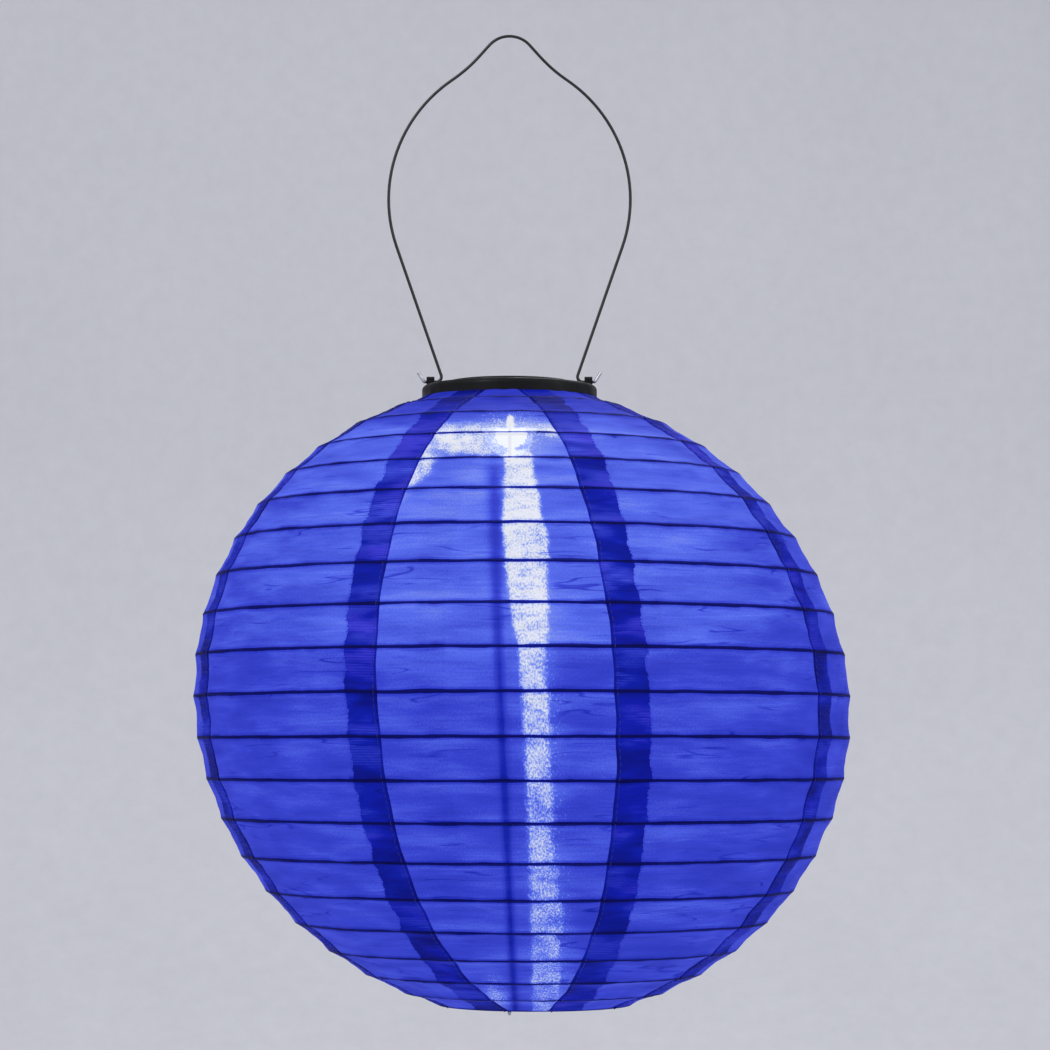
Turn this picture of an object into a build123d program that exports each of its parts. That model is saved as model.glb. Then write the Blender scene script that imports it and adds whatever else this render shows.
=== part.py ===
"""Round fabric lantern with wire hoops, a wire bail and a lift-out solar light unit.

Frame: millimetres, +Z up, the bail lies in the XZ plane, and the origin is the underside of the
bail's crown, where the lantern hangs.
"""
from math import cos, radians, sin, sqrt
import os

from build123d import *

os.makedirs("parts", exist_ok=True)

# ---------------------------------------------------------------- globe
GLOBE_R = 149.5                 # hoop centre line at the widest level
GLOBE_HALF_HEIGHT = 143.7       # vertical half axis of the hoops' ellipse
GLOBE_Z = -309.3                # level of the ellipse's centre
TOP_ANGLE = 74.3                # the cover's top edge, as an angle on the ellipse
FIRST_HOOP_ANGLE = 69.5
TOP_STEP = 8.1                  # the first three hoops stand a little wider apart
HOOP_STEP = 7.5
TOP_HOOPS = 3
HOOP_COUNT = 19
FOOT_ANGLE = -73.0
HOOP_WIRE = 1.2
FOOT_WIRE = 1.6
GORE_COUNT = 8
GORE_SEAM_ANGLE = -71.9         # direction of the first seam, counted from -Y towards +X
GORE_GAP_ANGLE = 0.2            # half the gap between two neighbouring gores
COVER_CLEARANCE = 1.15          # from the hoops' centre line to the cover's inner face
COVER_THICKNESS = 0.4
COVER_LEAN = 11.6               # the cover hangs askew: its foot stands this far out along +X

# ---------------------------------------------------------------- collar
COLLAR_R = 40.5
COLLAR_TOP = -163.5
COLLAR_BOTTOM = -169.3
COLLAR_WALL = 1.6
COLLAR_BORE_R = 27.5
COLLAR_TUBE_BOTTOM = -173.3
SEAT_R = 30.1
SEAT_Z = -166.4
PIVOT_Z = -161.5                # the bail's hinge line
LUG_X = 36.6
LUG_THICKNESS = 3.6
LUG_WIDTH = 5.2
LUG_TOP = -159.2
LUG_ROOT = 1.5                  # how deep a lug is sunk in the collar's top
LUG_EDGE = 1.4
COLLAR_EDGE = 2.2

# ---------------------------------------------------------------- ring that holds the cover's top hem
HEM_RING_TOP = SEAT_Z - COLLAR_WALL
HEM_RING_HEIGHT = 3.0
HEM_RING_BORE_R = 29.3
HEM_RING_R = 36.6
HEM_RING_BEVEL = (1.8, 1.6)     # inwards and down
TOP_HOOP_R = 38.0
TOP_HOOP_Z = -170.6

# ---------------------------------------------------------------- spreader
SPREADER_WIRE = 1.5
SPREADER_TOP_R = 31.2
SPREADER_ARC = 84               # half of the top arc's angle, in degrees
SPREADER_BEND = 3.0
SPREADER_GAP = 0.35             # from the spreader's wire to what it stands against
KNEE_DROP = 14.0                # the leg hangs straight this far below the top arc
ANKLE_RISE = 20.0               # and stands straight this far above the foot ring
LEG_BEND = 60.0
HOOK_BEND = 1.5
TOE_REACH = 3.6
TOE_DROP = 0.4

# ---------------------------------------------------------------- bail
BAIL_WIRE = 1.4
PIVOT_CLEARANCE = 0.08
CROWN_HEIGHT = 7.0              # of the bail's sharp corner, before it is rounded
CROWN_BEND = 12.5

# ---------------------------------------------------------------- light unit
UNIT_FLANGE_R = 29.7
UNIT_BOTTOM = -183.5
UNIT_FLOOR = 1.5
UNIT_CUP_R = 27.2
UNIT_CUP_BORE_R = 25.5
FLANGE_Z = SEAT_Z + 0.1
FLANGE_THICKNESS = 1.1
COVER_Z = FLANGE_Z + FLANGE_THICKNESS
COVER_TOP = -161.7
PANEL_SIDE = 36.0
PANEL_POCKET_DEPTH = 2.0
SCREW_CIRCLE_R = 22.6
BOARD_Z = -173.6
BATTERY_X = 11.7
BATTERY_Z = -174.3
BATTERY_R = 7.1
BATTERY_LENGTH = 28.5
CUP_FLOOR_Z = UNIT_BOTTOM + UNIT_FLOOR
CUP_EDGE = 1.2
BOSS_R = 2.5
SCREW_HEAD_R = 2.1
SCREW_HEAD = 1.3                # height of a screw's head
SCREW_SHANK_R = 1.05
SCREW_HOLE_R = 1.3
SCREW_SLOT = (2.4, 0.5)         # a cross-slot's length and width
SCREW_SLOT_DEPTH = 0.7
HEAD_POCKET = 1.6
SCREW_BITE = 2.0                # how far a screw reaches into the top cover
SCREW_PLAY = 0.2
POST_R = 1.6
POST_X = -3.0
POST_Y = 8.5
SADDLE = (13.0, 1.6, 5.0)
SADDLE_Y = 9.0
BATTERY_PLAY = 0.35
BATTERY_ROOM = 40.0             # length kept clear for the battery and its contacts
SLEEVE_WALL = 0.25
SEAL_R = 28.7
SEAL_WALL = 0.9
SEAL_HEIGHT = 0.55
SEAL_PLAY = 0.1
LEAD_SLOT_X = -8.0
PANEL_PLAY = 0.6
BOARD_THICKNESS = 1.6
CELL_COUNT = 4
CELL_SIZE = (7.6, 32.0)
CELL_PITCH = 8.2
CELL_THICKNESS = 0.25
PANEL_BOARD = 1.0
PANEL_CORNER = 0.8
GLAZE_THICKNESS = 0.85
LED_R = 2.5
LED_RIM = (2.9, 1.0)            # radius and height
LED_TIP_Z = -189.6
LED_PIN = 0.5
LED_PIN_X = 1.27
DOME_R = 11.0
DOME_WALL = 1.2
DOME_FLANGE_R = 12.6
DOME_FLANGE = 1.2
SWITCH_X = -17.9
SWITCH_TRAVEL = 2.0
SWITCH_SLOT = (2.4, SWITCH_TRAVEL + 2.4)
KNOB_SIZE = (4.0, 5.0)
KNOB_THICKNESS = 1.6
KNOB_GAP = 0.3                  # from the knob to the cup's floor
KNOB_RIBS = (-1.5, 0.0, 1.5)
KNOB_RIB = (4.0, 0.5)
KNOB_RIB_DEPTH = 0.4
KNOB_STEM = (1.6, 1.6)
KNOB_STEM_HEIGHT = 3.1


def save(part, label):
    """Name a finished piece and write its STEP file."""
    part.label = label
    export_step(part, f"parts/{label}.step")


def globe_point(angle, offset=0.0):
    """Radius and level of a point on the hoops' ellipse, moved out along the normal."""
    t = radians(angle)
    normal = Vector(cos(t) / GLOBE_R, sin(t) / GLOBE_HALF_HEIGHT).normalized()
    radius = GLOBE_R * cos(t) + offset * normal.X
    level = GLOBE_Z + GLOBE_HALF_HEIGHT * sin(t) + offset * normal.Y
    return radius, level


hoop_angles = [FIRST_HOOP_ANGLE - TOP_STEP * i for i in range(TOP_HOOPS)]
while len(hoop_angles) < HOOP_COUNT:
    hoop_angles.append(hoop_angles[-1] - HOOP_STEP)

foot_r, foot_z = globe_point(FOOT_ANGLE)
cover_top_z = globe_point(TOP_ANGLE)[1]


def lean(level):
    """How far the cover has shifted along +X at a level."""
    return COVER_LEAN * (cover_top_z - level) / (cover_top_z - foot_z)


# ---------------------------------------------------------------- bail, one bent wire
# The half outline, from the crown out to the free end past the lug.
bail_corners = [
    (19.5, -14.9),              # where the crown's flank eases into the shoulder
    (69.3, -49.8),              # the wide shoulder
    (30.6, PIVOT_Z),            # where the leg turns out into the lug
    (39.6, PIVOT_Z),            # where the free end turns up
    (42.4, -157.2),
]
bail_radii = [70.0, 68.0, 2.4, 1.2]

bail_points = [(-x, 0, z) for x, z in reversed(bail_corners)]
bail_points.append((0, 0, CROWN_HEIGHT))
bail_points += [(x, 0, z) for x, z in bail_corners]
bail_fillets = list(reversed(bail_radii)) + [CROWN_BEND] + bail_radii

with BuildPart() as bail:
    with BuildLine() as bail_path:
        FilletPolyline(*bail_points, radius=bail_fillets)
    with BuildSketch(bail_path.line ^ 0):
        Circle(BAIL_WIRE / 2)
    sweep()
save(bail.part, "bail")

# ---------------------------------------------------------------- collar ring with its two lugs
with BuildPart() as collar_ring:
    with BuildSketch(Plane.XZ):
        with BuildLine():
            Polyline(
                (COLLAR_BORE_R, COLLAR_TUBE_BOTTOM),
                (COLLAR_BORE_R, SEAT_Z),
                (SEAT_R, SEAT_Z),
                (SEAT_R, COLLAR_TOP),
                (COLLAR_R, COLLAR_TOP),
                (COLLAR_R, COLLAR_BOTTOM),
                (COLLAR_R - COLLAR_WALL, COLLAR_BOTTOM),
                (COLLAR_R - COLLAR_WALL, SEAT_Z - COLLAR_WALL),
                (COLLAR_BORE_R + COLLAR_WALL, SEAT_Z - COLLAR_WALL),
                (COLLAR_BORE_R + COLLAR_WALL, COLLAR_TUBE_BOTTOM),
                close=True,
            )
        make_face()
    revolve(axis=Axis.Z)
    top_rims = collar_ring.edges().filter_by(GeomType.CIRCLE).group_by(Axis.Z)[-1]
    fillet(top_rims.sort_by(SortBy.RADIUS)[-1], radius=COLLAR_EDGE)
    lug_height = LUG_TOP - COLLAR_TOP + LUG_ROOT
    lug_z = LUG_TOP - lug_height / 2
    with Locations((LUG_X, 0, lug_z), (-LUG_X, 0, lug_z)):
        Box(LUG_THICKNESS, LUG_WIDTH, lug_height)
    lug_tops = collar_ring.edges().filter_by(Axis.X).group_by(Axis.Z)[-1]
    fillet(lug_tops, radius=LUG_EDGE)
    with Locations(Location((0, 0, PIVOT_Z), (0, 90, 0))):
        Cylinder(BAIL_WIRE / 2 + PIVOT_CLEARANCE, 3 * COLLAR_R, mode=Mode.SUBTRACT)
save(collar_ring.part, "collar_ring")

# ---------------------------------------------------------------- ring that holds the cover's top hem
with BuildPart() as hem_clip_ring:
    with BuildSketch(Plane.XZ):
        with BuildLine():
            Polyline(
                (HEM_RING_BORE_R, HEM_RING_TOP),
                (HEM_RING_R - HEM_RING_BEVEL[0], HEM_RING_TOP),
                (HEM_RING_R, HEM_RING_TOP - HEM_RING_BEVEL[1]),
                (HEM_RING_R, HEM_RING_TOP - HEM_RING_HEIGHT),
                (HEM_RING_BORE_R, HEM_RING_TOP - HEM_RING_HEIGHT),
                close=True,
            )
        make_face()
    revolve(axis=Axis.Z)
save(hem_clip_ring.part, "hem_clip_ring")


def wire_ring(radius, level, wire, shift=0.0):
    """A closed, level ring of round wire, its centre moved along +X by shift."""
    with BuildPart() as ring:
        with Locations((shift, 0, level)):
            Torus(radius, wire / 2)
    return ring.part


save(wire_ring(TOP_HOOP_R, TOP_HOOP_Z, FOOT_WIRE), "top_hoop")

for number, angle in enumerate(hoop_angles, start=1):
    radius, level = globe_point(angle)
    save(wire_ring(radius, level, HOOP_WIRE, lean(level)), f"hoop_{number:02d}")

save(wire_ring(foot_r, foot_z, FOOT_WIRE, COVER_LEAN), "foot_ring")

# ---------------------------------------------------------------- spreader, one bent wire
SPREADER_TOP_Z = HEM_RING_TOP - HEM_RING_HEIGHT - SPREADER_GAP - SPREADER_WIRE / 2
FOOT_RING_REACH = FOOT_WIRE / 2 + SPREADER_GAP + SPREADER_WIRE / 2
LEG_REACH = foot_r - FOOT_RING_REACH
LEG_FOOT_Y = sqrt(LEG_REACH**2 - COVER_LEAN**2)     # the foot ring stands off to one side
HOOK_Z = foot_z - FOOT_RING_REACH


def spreader_leg(side):
    """Points and bend of one leg: side is +1 for the back leg and -1 for the front one."""
    a = radians(SPREADER_ARC)
    start = Vector(SPREADER_TOP_R * cos(a), side * SPREADER_TOP_R * sin(a), SPREADER_TOP_Z)
    along = Vector(-sin(a), side * cos(a), 0)
    down = Vector(0, 0, -1)
    middle = start + along * (SPREADER_BEND * sin(radians(45)))
    middle += down * (SPREADER_BEND * (1 - cos(radians(45))))
    end = start + (along + down) * SPREADER_BEND
    knee = end + down * KNEE_DROP
    ankle = Vector(end.X, side * LEG_FOOT_Y, foot_z + ANKLE_RISE)
    heel = Vector(end.X, side * LEG_FOOT_Y, HOOK_Z)
    toe = Vector(end.X, side * (LEG_FOOT_Y + TOE_REACH), HOOK_Z - TOE_DROP)
    return start, middle, end, knee, ankle, heel, toe


with BuildPart() as spreader:
    with BuildLine() as spreader_path:
        front = spreader_leg(-1)
        back = spreader_leg(1)
        FilletPolyline(*reversed(front[2:]), radius=[HOOK_BEND, LEG_BEND, LEG_BEND])
        ThreePointArc(front[2], front[1], front[0])
        top_of_arc = (SPREADER_TOP_R, 0, SPREADER_TOP_Z)
        ThreePointArc(front[0], top_of_arc, back[0])
        ThreePointArc(back[0], back[1], back[2])
        FilletPolyline(*back[2:], radius=[LEG_BEND, LEG_BEND, HOOK_BEND])
    with BuildSketch(spreader_path.line ^ 0):
        Circle(SPREADER_WIRE / 2)
    sweep()
save(spreader.part, "spreader")

# ---------------------------------------------------------------- cover, eight sewn gores
GORE_ANGLE = 360 / GORE_COUNT
COVER_BOTTOM_ANGLE = -71.8
COVER_STEPS = 24                # points of the cover's section


def cover_arc(offset):
    """The cover's half section as an arc of the ellipse, moved out by offset."""
    span = (COVER_BOTTOM_ANGLE - TOP_ANGLE) / COVER_STEPS
    return [globe_point(TOP_ANGLE + span * i, offset) for i in range(COVER_STEPS + 1)]


lean_matrix = Matrix([
    [1, 0, lean(1) - lean(0), lean(0)],
    [0, 1, 0, 0],
    [0, 0, 1, 0],
])

for number in range(GORE_COUNT):
    seam = GORE_SEAM_ANGLE - 90 + GORE_ANGLE * number + GORE_GAP_ANGLE
    gore_plane = Plane(origin=(0, 0, 0), x_dir=Vector(1, 0, 0).rotate(Axis.Z, seam),
                       z_dir=Vector(0, -1, 0).rotate(Axis.Z, seam))
    with BuildPart() as gore:
        with BuildSketch(gore_plane):
            with BuildLine():
                inner = Spline(cover_arc(COVER_CLEARANCE))
                outer = Spline(cover_arc(COVER_CLEARANCE + COVER_THICKNESS))
                Line(inner @ 0, outer @ 0)
                Line(inner @ 1, outer @ 1)
            make_face()
        revolve(axis=Axis.Z, revolution_arc=GORE_ANGLE - 2 * GORE_GAP_ANGLE)
    save(gore.part.transform_geometry(lean_matrix), f"gore_{number + 1}")

# ---------------------------------------------------------------- light unit: housing
battery_axis = Location((BATTERY_X, 0, BATTERY_Z), (90, 0, 0))
with BuildPart() as housing:
    with BuildSketch(Plane.XY.offset(UNIT_BOTTOM)):
        Circle(UNIT_CUP_R)
    extrude(amount=COVER_Z - UNIT_BOTTOM)
    with BuildSketch(Plane.XY.offset(FLANGE_Z)):
        Circle(UNIT_FLANGE_R)
    extrude(amount=FLANGE_THICKNESS)
    with BuildSketch(Plane.XY.offset(CUP_FLOOR_Z)):
        Circle(UNIT_CUP_BORE_R)
    extrude(amount=COVER_Z - UNIT_BOTTOM, mode=Mode.SUBTRACT)
    fillet(housing.faces().sort_by(Axis.Z)[0].edges().filter_by(GeomType.CIRCLE), radius=CUP_EDGE)
    # three screw bosses, standing against the wall
    boss_spots = PolarLocations(SCREW_CIRCLE_R, 3, start_angle=90, angular_range=180, endpoint=True)
    with BuildSketch(Plane.XY.offset(CUP_FLOOR_Z)):
        with boss_spots:
            Circle(BOSS_R)
    extrude(amount=COVER_Z - CUP_FLOOR_Z)
    # two posts under the board and two saddles under the battery
    with BuildSketch(Plane.XY.offset(CUP_FLOOR_Z)):
        with Locations((POST_X, POST_Y), (POST_X, -POST_Y)):
            Circle(POST_R)
    extrude(amount=BOARD_Z - CUP_FLOOR_Z)
    with Locations((BATTERY_X, SADDLE_Y, CUP_FLOOR_Z), (BATTERY_X, -SADDLE_Y, CUP_FLOOR_Z)):
        Box(*SADDLE, align=(Align.CENTER, Align.CENTER, Align.MIN))
    with Locations(battery_axis):
        Cylinder(BATTERY_R + BATTERY_PLAY, BATTERY_ROOM, mode=Mode.SUBTRACT)
    # screw holes with head pockets, the lamp hole and the switch slot
    with BuildSketch(Plane.XY.offset(UNIT_BOTTOM)):
        with boss_spots:
            Circle(SCREW_HOLE_R)
        Circle(LED_R + 0.1)
        with Locations((SWITCH_X, SWITCH_TRAVEL / 2)):
            Rectangle(*SWITCH_SLOT)
    extrude(amount=COVER_Z - UNIT_BOTTOM, mode=Mode.SUBTRACT)
    with BuildSketch(Plane.XY.offset(UNIT_BOTTOM)):
        with boss_spots:
            Circle(SCREW_HEAD_R + SCREW_PLAY)
    extrude(amount=HEAD_POCKET, mode=Mode.SUBTRACT)
save(housing.part, "light_housing")

# ---------------------------------------------------------------- light unit: top cover and seal
with BuildPart() as unit_cover:
    with BuildSketch(Plane.XY.offset(COVER_Z)):
        Circle(UNIT_FLANGE_R)
    extrude(amount=COVER_TOP - COVER_Z)
    fillet(unit_cover.faces().sort_by(Axis.Z)[-1].edges(), radius=CUP_EDGE)
    with BuildSketch(Plane.XY.offset(COVER_TOP - PANEL_POCKET_DEPTH)):
        RectangleRounded(PANEL_SIDE + PANEL_PLAY, PANEL_SIDE + PANEL_PLAY, 1.0)
    extrude(amount=PANEL_POCKET_DEPTH, mode=Mode.SUBTRACT)
    with BuildSketch(Plane.XY.offset(COVER_Z)):
        Circle(SEAL_R + SEAL_PLAY)
        Circle(SEAL_R - SEAL_WALL - SEAL_PLAY, mode=Mode.SUBTRACT)
    extrude(amount=SEAL_HEIGHT + SEAL_PLAY / 2, mode=Mode.SUBTRACT)
    with BuildSketch(Plane.XY.offset(COVER_Z)):
        with boss_spots:
            Circle(SCREW_SHANK_R + 0.05)
    extrude(amount=SCREW_BITE + 0.4, mode=Mode.SUBTRACT)
    with BuildSketch(Plane.XY.offset(COVER_Z)):
        with Locations((LEAD_SLOT_X, 0)):
            SlotOverall(7.0, 2.6, rotation=90)
    extrude(amount=COVER_TOP - COVER_Z, mode=Mode.SUBTRACT)
save(unit_cover.part, "unit_cover")

with BuildPart() as cover_seal:
    with BuildSketch(Plane.XY.offset(COVER_Z)):
        Circle(SEAL_R)
        Circle(SEAL_R - SEAL_WALL, mode=Mode.SUBTRACT)
    extrude(amount=SEAL_HEIGHT)
save(cover_seal.part, "cover_seal")

with BuildPart() as cover_screws:
    with BuildSketch(Plane.XY.offset(UNIT_BOTTOM + SCREW_PLAY)):
        with boss_spots:
            Circle(SCREW_HEAD_R)
    extrude(amount=SCREW_HEAD)
    with BuildSketch(Plane.XY.offset(UNIT_BOTTOM + SCREW_PLAY + SCREW_HEAD)):
        with boss_spots:
            Circle(SCREW_SHANK_R)
    extrude(amount=COVER_Z + SCREW_BITE - UNIT_BOTTOM - SCREW_PLAY - SCREW_HEAD)
    with BuildSketch(Plane.XY.offset(UNIT_BOTTOM + SCREW_PLAY)):
        with boss_spots:
            Rectangle(*SCREW_SLOT)
            Rectangle(*reversed(SCREW_SLOT))
    extrude(amount=SCREW_SLOT_DEPTH, mode=Mode.SUBTRACT)
save(cover_screws.part, "cover_screws")

# ---------------------------------------------------------------- light unit: solar panel
PANEL_Z = COVER_TOP - PANEL_POCKET_DEPTH
with BuildPart() as panel_board:
    with BuildSketch(Plane.XY.offset(PANEL_Z)):
        RectangleRounded(PANEL_SIDE, PANEL_SIDE, PANEL_CORNER)
    extrude(amount=PANEL_BOARD)
save(panel_board.part, "panel_board")

with BuildPart() as solar_cells:
    with BuildSketch(Plane.XY.offset(PANEL_Z + PANEL_BOARD)):
        with GridLocations(CELL_PITCH, 1, CELL_COUNT, 1):
            Rectangle(*CELL_SIZE)
    extrude(amount=CELL_THICKNESS)
save(solar_cells.part, "solar_cells")

with BuildPart() as panel_glaze:
    with BuildSketch(Plane.XY.offset(PANEL_Z + PANEL_BOARD)):
        RectangleRounded(PANEL_SIDE, PANEL_SIDE, PANEL_CORNER)
    extrude(amount=GLAZE_THICKNESS)
    fillet(panel_glaze.faces().sort_by(Axis.Z)[-1].edges(), radius=0.4)
    with BuildSketch(Plane.XY.offset(PANEL_Z + PANEL_BOARD)):
        with GridLocations(CELL_PITCH, 1, CELL_COUNT, 1):
            Rectangle(*CELL_SIZE)
    extrude(amount=CELL_THICKNESS, mode=Mode.SUBTRACT)
save(panel_glaze.part, "panel_glaze")

with BuildPart() as panel_leads:
    for side in (-1, 1):
        with BuildLine() as lead_path:
            FilletPolyline(
                (LEAD_SLOT_X, side * 1.6, PANEL_Z),
                (LEAD_SLOT_X, side * 1.6, PANEL_Z - 2.6),
                (LEAD_SLOT_X - 1.5, side * 3.2, PANEL_Z - 5.2),
                (LEAD_SLOT_X - 1.5, side * 3.2, BOARD_Z + BOARD_THICKNESS),
                radius=1.2,
            )
        with BuildSketch(lead_path.line ^ 0):
            Circle(0.5)
        sweep(path=lead_path.line)
save(panel_leads.part, "panel_leads")

# ---------------------------------------------------------------- light unit: board and its parts
with BuildPart() as circuit_board:
    with BuildSketch(Plane.XY.offset(BOARD_Z)):
        with Locations((-8.0, 0)):
            Rectangle(22.0, 23.0)
    extrude(amount=BOARD_THICKNESS)
save(circuit_board.part, "circuit_board")

with BuildPart() as board_parts:
    with Locations((-15.0, 6.0, BOARD_Z + BOARD_THICKNESS)):
        Box(5.0, 4.0, 1.6, align=(Align.CENTER, Align.CENTER, Align.MIN))
    with BuildSketch(Plane.XY.offset(BOARD_Z + BOARD_THICKNESS)):
        with Locations((-15.0, -6.0)):
            Circle(2.4)
        with Locations((-3.0, -7.0)):
            Circle(1.8)
    extrude(amount=4.2)
save(board_parts.part, "board_parts")

# ---------------------------------------------------------------- light unit: battery and contacts
with BuildPart() as battery_cell:
    with Locations(battery_axis):
        Cylinder(BATTERY_R - SLEEVE_WALL, BATTERY_LENGTH)
    chamfer(battery_cell.edges().filter_by(GeomType.CIRCLE), length=0.5)
    with Locations((BATTERY_X, BATTERY_LENGTH / 2 + 0.6, BATTERY_Z)):
        Cylinder(2.7, 1.2, rotation=(90, 0, 0))
save(battery_cell.part, "battery_cell")

with BuildPart() as battery_sleeve:
    with Locations(battery_axis):
        Cylinder(BATTERY_R, BATTERY_LENGTH - 1.6)
        Cylinder(BATTERY_R - SLEEVE_WALL, BATTERY_LENGTH, mode=Mode.SUBTRACT)
save(battery_sleeve.part, "battery_sleeve")

CONTACT_WIDTH = 8.0
with BuildPart() as contact_plus:
    with Locations((BATTERY_X, BATTERY_LENGTH / 2 + 1.2, CUP_FLOOR_Z)):
        Box(CONTACT_WIDTH, 0.4, 13, align=(Align.CENTER, Align.MIN, Align.MIN))
save(contact_plus.part, "contact_plus")

with BuildPart() as contact_minus:
    with BuildSketch(Plane.YZ.offset(BATTERY_X - CONTACT_WIDTH / 2)):
        with BuildLine() as tongue:
            back_y = -BATTERY_LENGTH / 2 - 2.4
            Polyline(
                (back_y, CUP_FLOOR_Z + 0.3),
                (back_y, CUP_FLOOR_Z + 12),
                (-BATTERY_LENGTH / 2 - 0.4, CUP_FLOOR_Z + 7.5),
                (-BATTERY_LENGTH / 2 - 1.2, CUP_FLOOR_Z + 3.5),
            )
            offset(amount=0.2, side=Side.BOTH)
        make_face()
    extrude(amount=CONTACT_WIDTH)
save(contact_minus.part, "contact_minus")

# ---------------------------------------------------------------- light unit: lamp
rim_r, rim_height = LED_RIM
rim_top = CUP_FLOOR_Z + rim_height
with BuildPart() as led:
    with BuildSketch(Plane.XZ):
        with BuildLine():
            Polyline(
                (0, LED_TIP_Z),
                (0, rim_top),
                (rim_r, rim_top),
                (rim_r, CUP_FLOOR_Z),
                (LED_R, CUP_FLOOR_Z),
                (LED_R, LED_TIP_Z + LED_R),
            )
            CenterArc((0, LED_TIP_Z + LED_R), LED_R, 0, -90)
        make_face()
    revolve(axis=Axis.Z)
save(led.part, "led")

with BuildPart() as led_leads:
    with BuildSketch(Plane.XY.offset(rim_top)):
        with Locations((LED_PIN_X, 0), (-LED_PIN_X, 0)):
            Rectangle(LED_PIN, LED_PIN)
    extrude(amount=BOARD_Z - rim_top)
save(led_leads.part, "led_leads")

with BuildPart() as led_dome:
    dome_z = UNIT_BOTTOM - DOME_FLANGE - 1.2
    with BuildSketch(Plane.XZ):
        with BuildLine():
            Polyline(
                (DOME_R - DOME_WALL, dome_z),
                (DOME_R - DOME_WALL, UNIT_BOTTOM),
                (DOME_FLANGE_R, UNIT_BOTTOM),
                (DOME_FLANGE_R, UNIT_BOTTOM - DOME_FLANGE),
                (DOME_R, UNIT_BOTTOM - DOME_FLANGE),
                (DOME_R, dome_z),
            )
            CenterArc((0, dome_z), DOME_R, 0, -90)
            Line((0, dome_z - DOME_R), (0, dome_z - DOME_R + DOME_WALL))
            CenterArc((0, dome_z), DOME_R - DOME_WALL, -90, 90)
        make_face()
    revolve(axis=Axis.Z)
save(led_dome.part, "led_dome")

# ---------------------------------------------------------------- light unit: slide switch
with BuildPart() as switch_body:
    with Locations((SWITCH_X, SWITCH_TRAVEL / 2, CUP_FLOOR_Z)):
        Box(4.0, 9.0, 4.4, align=(Align.CENTER, Align.CENTER, Align.MIN))
    with BuildSketch(Plane.XY.offset(CUP_FLOOR_Z)):
        with Locations((SWITCH_X, SWITCH_TRAVEL / 2)):
            Rectangle(SWITCH_SLOT[0] - 0.2, SWITCH_SLOT[1])
    extrude(amount=KNOB_STEM_HEIGHT - UNIT_FLOOR, mode=Mode.SUBTRACT)
save(switch_body.part, "switch_body")

knob_bottom = UNIT_BOTTOM - KNOB_GAP - KNOB_THICKNESS
with BuildPart() as switch_knob:
    with BuildSketch(Plane.XY.offset(knob_bottom)):
        with Locations((SWITCH_X, 0)):
            RectangleRounded(*KNOB_SIZE, 0.6)
    extrude(amount=KNOB_THICKNESS)
    with BuildSketch(Plane.XY.offset(knob_bottom)):
        with Locations(*[(SWITCH_X, y) for y in KNOB_RIBS]):
            Rectangle(*KNOB_RIB)
    extrude(amount=KNOB_RIB_DEPTH, mode=Mode.SUBTRACT)
    with BuildSketch(Plane.XY.offset(UNIT_BOTTOM - KNOB_GAP - 0.1)):
        with Locations((SWITCH_X, 0)):
            Rectangle(*KNOB_STEM)
    extrude(amount=KNOB_STEM_HEIGHT)
save(switch_knob.part, "switch_knob")
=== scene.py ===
"""Looks of the lit fabric lantern: its woven cover, seams, stitches, wires and lamp.

Everything is in metres in the row frame: +Z up, the front of the lantern faces -Y.
"""

from math import atan2, cos, degrees, exp, hypot, pi, radians, sin

import bmesh
import bpy
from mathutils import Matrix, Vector, noise


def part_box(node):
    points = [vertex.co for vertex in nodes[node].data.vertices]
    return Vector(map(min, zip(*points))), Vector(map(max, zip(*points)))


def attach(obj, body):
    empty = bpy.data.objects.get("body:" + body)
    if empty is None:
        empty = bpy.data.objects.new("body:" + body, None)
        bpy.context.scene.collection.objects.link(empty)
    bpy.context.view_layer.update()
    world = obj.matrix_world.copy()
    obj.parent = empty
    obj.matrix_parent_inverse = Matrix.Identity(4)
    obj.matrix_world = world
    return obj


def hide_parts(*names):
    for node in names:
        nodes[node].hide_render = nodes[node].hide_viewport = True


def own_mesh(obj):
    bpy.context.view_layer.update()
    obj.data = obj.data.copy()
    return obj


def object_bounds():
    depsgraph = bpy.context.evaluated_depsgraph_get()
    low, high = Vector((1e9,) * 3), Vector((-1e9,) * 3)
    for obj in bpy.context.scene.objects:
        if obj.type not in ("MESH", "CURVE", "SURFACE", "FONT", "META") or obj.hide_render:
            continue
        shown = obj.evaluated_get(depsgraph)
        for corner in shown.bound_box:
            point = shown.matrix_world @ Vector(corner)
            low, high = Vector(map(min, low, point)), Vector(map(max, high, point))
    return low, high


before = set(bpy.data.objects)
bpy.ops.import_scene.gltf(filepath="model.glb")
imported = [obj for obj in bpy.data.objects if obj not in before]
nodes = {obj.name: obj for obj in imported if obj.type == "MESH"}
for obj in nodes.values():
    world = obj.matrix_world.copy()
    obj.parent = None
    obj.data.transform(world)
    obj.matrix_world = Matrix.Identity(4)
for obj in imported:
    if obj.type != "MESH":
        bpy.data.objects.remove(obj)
cad_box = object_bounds()

# ---------------------------------------------------------------- camera
CAMERA_PLACE = (0.0072, -1.578, -0.3328)
CAMERA_TILT = 93.8
CAMERA_LENS = 117.26
CAMERA_SENSOR = 36.0

camera_data = bpy.data.cameras.new("camera")
camera_data.lens = CAMERA_LENS
camera_data.sensor_width = CAMERA_SENSOR
camera = bpy.data.objects.new("camera", camera_data)
camera.location = CAMERA_PLACE
camera.rotation_euler = (radians(CAMERA_TILT), 0, 0)
bpy.context.scene.collection.objects.link(camera)
bpy.context.scene.camera = camera
bpy.context.scene.view_settings.view_transform = "Standard"


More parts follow.
